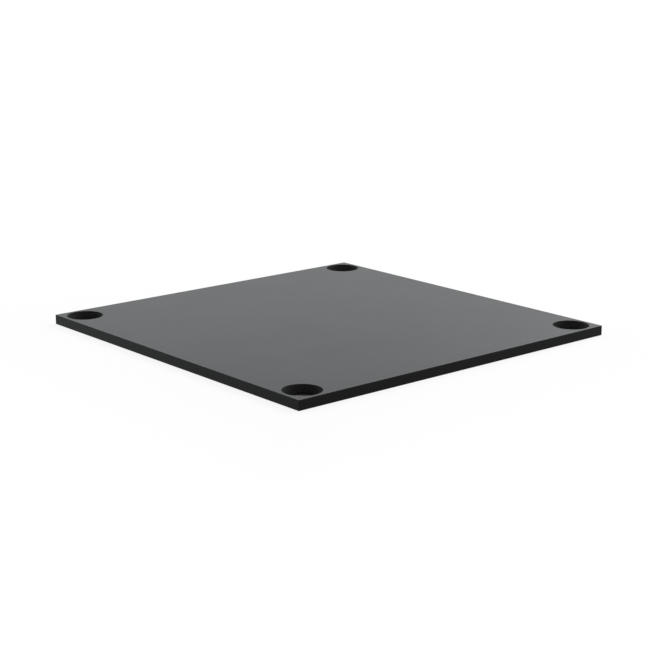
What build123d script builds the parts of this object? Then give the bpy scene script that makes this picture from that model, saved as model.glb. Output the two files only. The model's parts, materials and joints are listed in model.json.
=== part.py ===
from build123d import *
import os

# Square cover plate: one flat piece of black anodised aluminium plate with a large plain hole
# straight through each corner. Each hole lies close in to its corner, so that only a narrow web of
# metal is left between it and the two edges beside it. The corners of the outline are square, and
# every edge is sharp apart from the small bevel that takes its burr off.
#
# Frame: X and Y run along the plate's sides and +Z up through its thickness. The origin is the
# centre of the underside, the face that lies on whatever the plate covers.

# ---- Driving dimensions, in millimetres --------------------------------------------------------
plate_length = 200.0  # side along X
plate_width = 200.0  # side along Y
plate_thickness = 5.0
hole_diameter = 18.5  # plain through hole in each corner
hole_web = 1.85  # metal left between a hole and each of the two edges beside it
edge_break = 0.15  # bevel that takes the burr off the outline and off both rims of every hole

# ---- Worked out from them ----------------------------------------------------------------------
hole_inset = hole_web + hole_diameter / 2  # from an edge of the plate to the centre of a hole
hole_spacing_x = plate_length - 2 * hole_inset
hole_spacing_y = plate_width - 2 * hole_inset


def plate_blank():
    """The sawn square of plate, standing on its underside, with all twelve edges broken."""
    blank = extrude(Rectangle(plate_length, plate_width), plate_thickness)
    return chamfer(blank.edges(), edge_break)


def drill_paths():
    """What the drill takes out at the four corners, from the underside to the top face."""
    path = extrude(Circle(hole_diameter / 2), plate_thickness)
    return [centre * path for centre in GridLocations(hole_spacing_x, hole_spacing_y, 2, 2)]


def cover_plate():
    """The blank drilled through at its corners, with both rims of every hole broken."""
    drilled = plate_blank() - drill_paths()
    return chamfer(drilled.edges().filter_by(GeomType.CIRCLE), edge_break)


os.makedirs("parts", exist_ok=True)
plate = cover_plate()
plate.label = "cover_plate"
export_step(plate, "parts/cover_plate.step")
print("cover_plate:", round(plate.volume, 1), "mm3,", len(plate.faces()), "faces")
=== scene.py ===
import json
import math

import bmesh
import bpy
import numpy as np
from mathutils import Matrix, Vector


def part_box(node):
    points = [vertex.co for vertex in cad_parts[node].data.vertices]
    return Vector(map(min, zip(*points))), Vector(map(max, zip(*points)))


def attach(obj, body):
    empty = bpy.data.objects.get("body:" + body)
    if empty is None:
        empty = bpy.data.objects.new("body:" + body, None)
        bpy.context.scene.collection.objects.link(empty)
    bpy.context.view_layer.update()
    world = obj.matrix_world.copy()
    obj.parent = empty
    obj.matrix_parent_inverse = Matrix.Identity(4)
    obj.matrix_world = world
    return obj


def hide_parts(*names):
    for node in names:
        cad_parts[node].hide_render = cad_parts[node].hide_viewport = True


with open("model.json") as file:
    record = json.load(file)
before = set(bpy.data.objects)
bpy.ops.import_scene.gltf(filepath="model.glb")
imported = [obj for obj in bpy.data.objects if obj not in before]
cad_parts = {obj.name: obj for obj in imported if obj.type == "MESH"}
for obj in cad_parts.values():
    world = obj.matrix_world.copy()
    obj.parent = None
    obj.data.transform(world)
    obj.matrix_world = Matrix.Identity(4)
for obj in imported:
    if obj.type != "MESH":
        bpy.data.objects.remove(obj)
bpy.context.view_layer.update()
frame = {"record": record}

scene = bpy.context.scene
scene.view_settings.view_transform = "Standard"


# ---- The plate ---------------------------------------------------------------------------------
# One square of 5 mm aluminium plate: sawn to size, drilled straight through close in to each
# corner, deburred, etched matt, then dyed black and sealed by anodising. It is a single piece.

low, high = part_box("cover_plate")
pattern = next(m for m in frame["record"]["mounts"] if m["name"] == "corner_holes")["dims"]
hole_radius = pattern["hole_r_mm"] / 1000
hole_x = pattern["spacing_x_mm"] / 2000
hole_y = pattern["spacing_y_mm"] / 2000
edge_round = 0.00015  # what deburring and etching take off the sharp edges
edge_x = high.x - edge_round  # where the flat faces end and their rounded edges begin
edge_y = high.y - edge_round

side_steps = 32  # facets along one side of the square of metal round a hole, so 128 round the hole
middle_steps = 12  # facets from one of those squares to the next
ring_steps = 4
round_steps = 4  # facets that a rounded edge turns through
weld_distance = 1e-6  # points nearer than this are the same point
crease_angle = math.radians(10)  # edges that turn further than this shade as sharp


def edge_profile():
    """The section through any edge, from the top face down to the underside: a quarter circle out and
    down, the straight wall, and a quarter circle back in. Gives, point by point, how far the surface
    has moved out from the rim of the flat faces, and its height."""
    turn = np.linspace(0, math.pi / 2, round_steps + 1)
    out = edge_round * np.sin(turn)
    drop = edge_round * (1 - np.cos(turn))
    return np.r_[out, out[::-1]], np.r_[high.z - drop, low.z + drop[::-1]]


def wall(rim, outward):
    """The edge profile carried along a rim: the point at (u, s) is rim(u) + out(s) * outward(u) in plan,
    at height(s)."""
    out, height = edge_profile()
    plan = rim[:, None] + out[None, :, None] * outward[:, None]
    return np.dstack([plan, np.broadcast_to(height, plan.shape[:2])])


def hole_wall(centre):
    """The wall of one hole: its rim is a circle, and outwards is towards the hole's own axis."""
    angle = np.linspace(0, 2 * math.pi, 4 * side_steps + 1) - math.pi / 4
    spoke = np.column_stack([np.cos(angle), np.sin(angle)])
    return wall(centre + (hole_radius + edge_round) * spoke, -spoke)


def outer_wall(along_x, along_y):
    """The plate's four sides in one band: its rim is the rectangle that the knots along X and Y end at,
    and at each corner the rim stays put while outwards turns through a right angle, which rounds it."""
    rim, outward = [], []
    sides = [
        (np.column_stack([along_x, np.full(len(along_x), along_y[0])]), -90),
        (np.column_stack([np.full(len(along_y), along_x[-1]), along_y]), 0),
        (np.column_stack([along_x[::-1], np.full(len(along_x), along_y[-1])]), 90),
        (np.column_stack([np.full(len(along_y), along_x[0]), along_y[::-1]]), 180),
    ]
    for points, facing in sides:
        turning = facing + np.linspace(0, 90, round_steps + 1)
        heading = np.radians(np.r_[np.full(len(points) - 1, facing), turning])
        rim.append(np.vstack([points, np.repeat(points[-1:], round_steps, axis=0)]))
        outward.append(np.column_stack([np.cos(heading), np.sin(heading)]))
    return wall(np.vstack(rim), np.vstack(outward))


def holed_square(xs, ys, centre, height):
    """Flat metal round a hole: each point of the hole's rim goes straight out to its own point of the
    rectangle that xs and ys span, (1 - v) * rim(u) + v * rectangle(u)."""
    rectangle = np.vstack([
        np.column_stack([np.full(len(ys), xs[-1]), ys])[:-1],
        np.column_stack([xs[::-1], np.full(len(xs), ys[-1])])[:-1],
        np.column_stack([np.full(len(ys), xs[0]), ys[::-1]])[:-1],
        np.column_stack([xs, np.full(len(xs), ys[0])]),
    ])
    rim = hole_wall(centre)[:, 0, :2]
    v = np.linspace(0, 1, ring_steps + 1)[None, :, None]
    plan = (1 - v) * rim[:, None] + v * rectangle[:, None]
    return np.dstack([plan, np.full(plan.shape[:2], height)])


def flat_square(xs, ys, height):
    """Flat metal with no hole: the plain grid of xs and ys."""
    x, y = np.meshgrid(xs, ys, indexing="ij")
    return np.dstack([x, y, np.full(x.shape, height)])


def plate_surfaces():
    """Every grid of points that the plate's skin is made of. The knots split each side in three, a
    square of metal round each hole and the stretch between, and all grids share them."""
    inner_x = 2 * hole_x - high.x
    inner_y = 2 * hole_y - high.y
    corner_x = np.linspace(inner_x, edge_x, side_steps + 1)
    corner_y = np.linspace(inner_y, edge_y, side_steps + 1)
    columns = [-corner_x[::-1], np.linspace(-inner_x, inner_x, middle_steps + 1), corner_x]
    rows = [-corner_y[::-1], np.linspace(-inner_y, inner_y, middle_steps + 1), corner_y]
    surfaces = [outer_wall(np.unique(np.r_[tuple(columns)]), np.unique(np.r_[tuple(rows)]))]
    for i, xs in enumerate(columns):
        for j, ys in enumerate(rows):
            centre = np.array([(i - 1) * hole_x, (j - 1) * hole_y])
            if i == 1 or j == 1:
                surfaces += [flat_square(xs, ys, z) for z in (low.z, high.z)]
            else:
                surfaces += [holed_square(xs, ys, centre, z) for z in (low.z, high.z)]
                surfaces.append(hole_wall(centre))
    return surfaces


def skin(name, surfaces):
    """One closed mesh from grids that meet along their edges: the grids' points and the quads between
    them go in as they are, then points that coincide are joined and the faces are turned outwards."""
    points, quads, first = [], [], 0
    for grid in surfaces:
        rows, columns = grid.shape[:2]
        index = first + np.arange(rows * columns).reshape(rows, columns)
        corners = index[:-1, :-1], index[1:, :-1], index[1:, 1:], index[:-1, 1:]
        quads.append(np.stack(corners, axis=-1).reshape(-1, 4))
        points.append(grid.reshape(-1, 3))
        first += rows * columns
    mesh = bpy.data.meshes.new(name)
    mesh.from_pydata(np.vstack(points).tolist(), [], np.vstack(quads).tolist())
    work = bmesh.new()
    work.from_mesh(mesh)
    bmesh.ops.remove_doubles(work, verts=work.verts, dist=weld_distance)
    bmesh.ops.recalc_face_normals(work, faces=work.faces)
    work.to_mesh(mesh)
    work.free()
    mesh.shade_smooth()
    mesh.set_sharp_from_angle(angle=crease_angle)
    return mesh


class Wire:
    """One output of a shader node. Arithmetic on it puts in the Math nodes that work it out."""

    def __init__(self, tree, socket):
        self.tree = tree
        self.socket = socket

    def put(self, kind, settings, inputs, output=0):
        """Adds a node of a kind, makes its settings, feeds its sockets and gives one of its outputs."""
        node = self.tree.nodes.new("ShaderNode" + kind)
        for name, value in settings.items():
            setattr(node, name, value)
        for name, value in inputs.items():
            if isinstance(value, Wire):
                self.tree.links.new(value.socket, node.inputs[name])
            else:
                node.inputs[name].default_value = value
        return Wire(self.tree, node.outputs[output])

    def math(self, operation, *others):
        """One Math node on this value and up to two more."""
        return self.put("Math", {"operation": operation}, dict(enumerate((self, *others))))

    def __add__(self, other):
        return self.math("ADD", other)

    def __sub__(self, other):
        return self.math("SUBTRACT", other)

    def __rsub__(self, other):
        return self * -1 + other

    def __mul__(self, other):
        return self.math("MULTIPLY", other)

    def __abs__(self):
        return self.math("ABSOLUTE")

    __radd__ = __add__
    __rmul__ = __mul__


def object_place(tree):
    """The place of the shaded point in its object's own coordinates, and that place's X and Y."""
    place = Wire(tree, tree.nodes.new("ShaderNodeTexCoord").outputs["Object"])
    parts = place.put("SeparateXYZ", {}, {"Vector": place})
    axes = parts.socket.node.outputs
    return place, Wire(tree, axes["X"]), Wire(tree, axes["Y"])


def noise(place, scale, detail, stretch=(1.0, 1.0, 1.0)):
    """Smooth noise from 0 to 1 that repeats nowhere, about 1 / scale from one lump to the next. Where it
    is stretched, each axis is first scaled by itself, which draws the lumps out into lines."""
    drawn = place.put("Mapping", {"vector_type": "POINT"}, {"Vector": place, "Scale": stretch})
    sockets = {"Vector": drawn, "Scale": scale, "Detail": detail, "Roughness": 0.5}
    return place.put("TexNoise", {"noise_dimensions": "3D"}, sockets)


def black_anodising():
    """Satin black anodising on etched plate. The flat faces keep the faint grain of the rolled sheet
    along X, the sawn sides have fine marks across them, and the holes have rings from the drill."""
    deep = (0.0081, 0.0081, 0.0081, 1.0)
    worn = (0.0105, 0.0105, 0.0105, 1.0)
    drilled = (0.027, 0.027, 0.027, 1.0)
    edge_tint = (0.966, 0.987, 1.0, 1.0)
    flat_rough = 0.343
    side_rough = 0.42
    hole_rough = 0.80
    cloud_rough = 0.04  # how far the clouding and the grain each move the roughness
    grain_rough = 0.03
    grain_lines = (14.0, 620.0, 1.0)  # lumps to the metre along each axis: long lines along X
    saw_lines = (1500.0, 1500.0, 60.0)  # upright lines on the sides
    drill_lines = (40.0, 40.0, 4200.0)  # rings stacked up the wall of a hole
    fine_height = 0.3  # height of the etch and of the grain, as a share of the saw marks'
    ring_height = 6.0
    relief_depth = 0.000005

    material = bpy.data.materials.new("black_anodising")
    material.use_nodes = True
    tree = material.node_tree
    shader = tree.nodes["Principled BSDF"]
    place, x, y = object_place(tree)

    across_x = abs(x) - hole_x
    across_y = abs(y) - hole_y
    from_axis = (across_x * across_x + across_y * across_y).math("SQRT")
    in_hole = from_axis.math("LESS_THAN", hole_radius + edge_round / 2)
    past_edge = (abs(x) - edge_x).math("MAXIMUM", abs(y) - edge_y)
    on_side = past_edge.math("GREATER_THAN", edge_round / 2)
    on_flat = 1 - in_hole.math("MAXIMUM", on_side)

    cloud = noise(place, 28.0, 3.0)
    grain = noise(place, 1.0, 3.0, grain_lines)
    etch = noise(place, 1700.0, 2.0)
    saw_marks = noise(place, 1.0, 2.0, saw_lines)
    drill_rings = noise(place, 1.0, 1.0, drill_lines)

    film = cloud.put("Mix", {"data_type": "RGBA"}, {"Factor": cloud, 6: deep, 7: worn}, 2)
    colour = film.put("Mix", {"data_type": "RGBA"}, {"Factor": in_hole, 6: film, 7: drilled}, 2)
    tree.links.new(colour.socket, shader.inputs["Base Color"])
    tree.links.new((1 - in_hole).socket, shader.inputs["Metallic"])

    roughness = flat_rough * on_flat + side_rough * on_side + hole_rough * in_hole
    roughness = roughness + cloud_rough * (cloud - 0.5) + grain_rough * on_flat * (grain - 0.5)
    tree.links.new(roughness.socket, shader.inputs["Roughness"])
    shader.inputs["IOR"].default_value = 1.25
    shader.inputs["Specular Tint"].default_value = edge_tint

    height = etch * fine_height + on_flat * grain * fine_height
    height = height + on_side * saw_marks + in_hole * drill_rings * ring_height
    relief = height.put("Bump", {}, {"Height": height, "Strength": 1.0, "Distance": relief_depth})
    tree.links.new(relief.socket, shader.inputs["Normal"])
    return material


plate_mesh = skin("plate", plate_surfaces())
plate_mesh.materials.append(black_anodising())
plate = bpy.data.objects.new("plate", plate_mesh)
scene.collection.objects.link(plate)
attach(plate, "root")
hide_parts("cover_plate")


# ---- Viewpoint ---------------------------------------------------------------------------------
# A long lens, low over one corner of the plate, so that the square lies as a flat diamond.

side = high.x - low.x
view_azimuth = math.radians(49.63)
view_elevation = math.radians(14.40)
view_distance = 4.1414 * side
aim = Vector((0.0389 * side, -0.0336 * side, high.z))

lens = bpy.data.cameras.new("camera")
lens.lens = 90.0
lens.sensor_width = 36.0
camera = bpy.data.objects.new("camera", lens)
scene.collection.objects.link(camera)
back = Vector((
    math.sin(view_azimuth) * math.cos(view_elevation),
    -math.cos(view_azimuth) * math.cos(view_elevation),
    math.sin(view_elevation),
))
camera.location = aim + back * view_distance
camera.rotation_euler = back.to_track_quat("Z", "Y").to_euler()
scene.camera = camera


# ---- Floor -------------------------------------------------------------------------------------
# A wide white table top just under the plate. Rays that come straight to it see most of it as plain
# white, with a trace of the plate's shadow, but under the plate it keeps all its shade.

floor_half = 6.0
floor_drop = 0.0001  # gap below the plate, so that the two never share a plane
floor_grey = (0.9, 0.9, 0.9, 1.0)
plain_white = (1.0, 1.0, 1.0, 1.0)
under_rim = 0.001  # how far in under the plate's edge the plain white takes to end
shadow_share = 0.12  # how much of the floor's own shading is left in the plain white by the plate
shadow_reach = 0.08  # how far out from the plate that takes to fade

floor_mesh = bpy.data.meshes.new("floor")
corners = [(-1, -1), (1, -1), (1, 1), (-1, 1)]
corners = [(x * floor_half, y * floor_half, low.z - floor_drop) for x, y in corners]
floor_mesh.from_pydata(corners, [], [(0, 1, 2, 3)])
floor = bpy.data.objects.new("floor", floor_mesh)
scene.collection.objects.link(floor)


def seen_directly(tree):
    """1 on a ray from the camera, or one that a surface has mirrored or let through, and 0 on others."""
    rays = tree.nodes.new("ShaderNodeLightPath").outputs
    camera_ray = Wire(tree, rays["Is Camera Ray"])
    mirrored = camera_ray.math("MAXIMUM", Wire(tree, rays["Is Glossy Ray"]))
    return mirrored.math("MAXIMUM", Wire(tree, rays["Is Transmission Ray"]))


floor_paint = bpy.data.materials.new("floor_paint")
floor_paint.use_nodes = True
floor_paint.cycles.emission_sampling = "NONE"
floor_tree = floor_paint.node_tree
floor_tree.nodes.clear()
spot, floor_x, floor_y = object_place(floor_tree)
beyond = (abs(floor_x) - high.x).math("MAXIMUM", abs(floor_y) - high.y)
open_floor = beyond.put("MapRange", {}, {"Value": beyond, "From Min": -under_rim, "From Max": 0.0})
fading = {"Value": beyond, "From Min": 0.0, "From Max": shadow_reach, "To Min": 1.0, "To Max": 0.0}
near_plate = beyond.put("MapRange", {}, fading)
share = seen_directly(floor_tree) * open_floor * (1 - shadow_share * near_plate)
matt = spot.put("BsdfDiffuse", {}, {"Color": floor_grey})
glow = spot.put("Emission", {}, {"Color": plain_white, "Strength": 1.0})
mixed = spot.put("MixShader", {}, {0: share, 1: matt, 2: glow})
floor_out = floor_tree.nodes.new("ShaderNodeOutputMaterial")
floor_tree.links.new(mixed.socket, floor_out.inputs["Surface"])
floor_mesh.materials.append(floor_paint)


# ---- Light -------------------------------------------------------------------------------------
# A white room that mirrors as plain white but gives a soft, lower light, and a softbox on each side
# of the plate, a little behind it, the stronger one on the right.

room_light = 0.08
right_power = 38.0
left_power = 16.0
box_distance = 1.8

room = bpy.data.worlds.new("room")
room.use_nodes = True
room_tree = room.node_tree
room_back = room_tree.nodes["Background"]
room_back.inputs["Color"].default_value = plain_white
strength = seen_directly(room_tree) * (1 - room_light) + room_light
room_tree.links.new(strength.socket, room_back.inputs["Strength"])
scene.world = room


def softbox(name, azimuth, elevation, width, height, power):
    """A soft rectangular lamp that faces the plate, its azimuth turning from +X towards +Y."""
    lamp = bpy.data.lights.new(name, "AREA")
    lamp.shape = "RECTANGLE"
    lamp.size = width
    lamp.size_y = height
    lamp.energy = power
    holder = bpy.data.objects.new(name, lamp)
    turn = math.radians(azimuth)
    rise = math.radians(elevation)
    outward = Vector((math.cos(turn) * math.cos(rise), math.sin(turn) * math.cos(rise), math.sin(rise)))
    holder.location = outward * box_distance
    holder.rotation_euler = outward.to_track_quat("Z", "Y").to_euler()
    scene.collection.objects.link(holder)


softbox("right_softbox", azimuth=87, elevation=44, width=2.2, height=1.0, power=right_power)
softbox("left_softbox", azimuth=190, elevation=40, width=1.2, height=1.0, power=left_power)
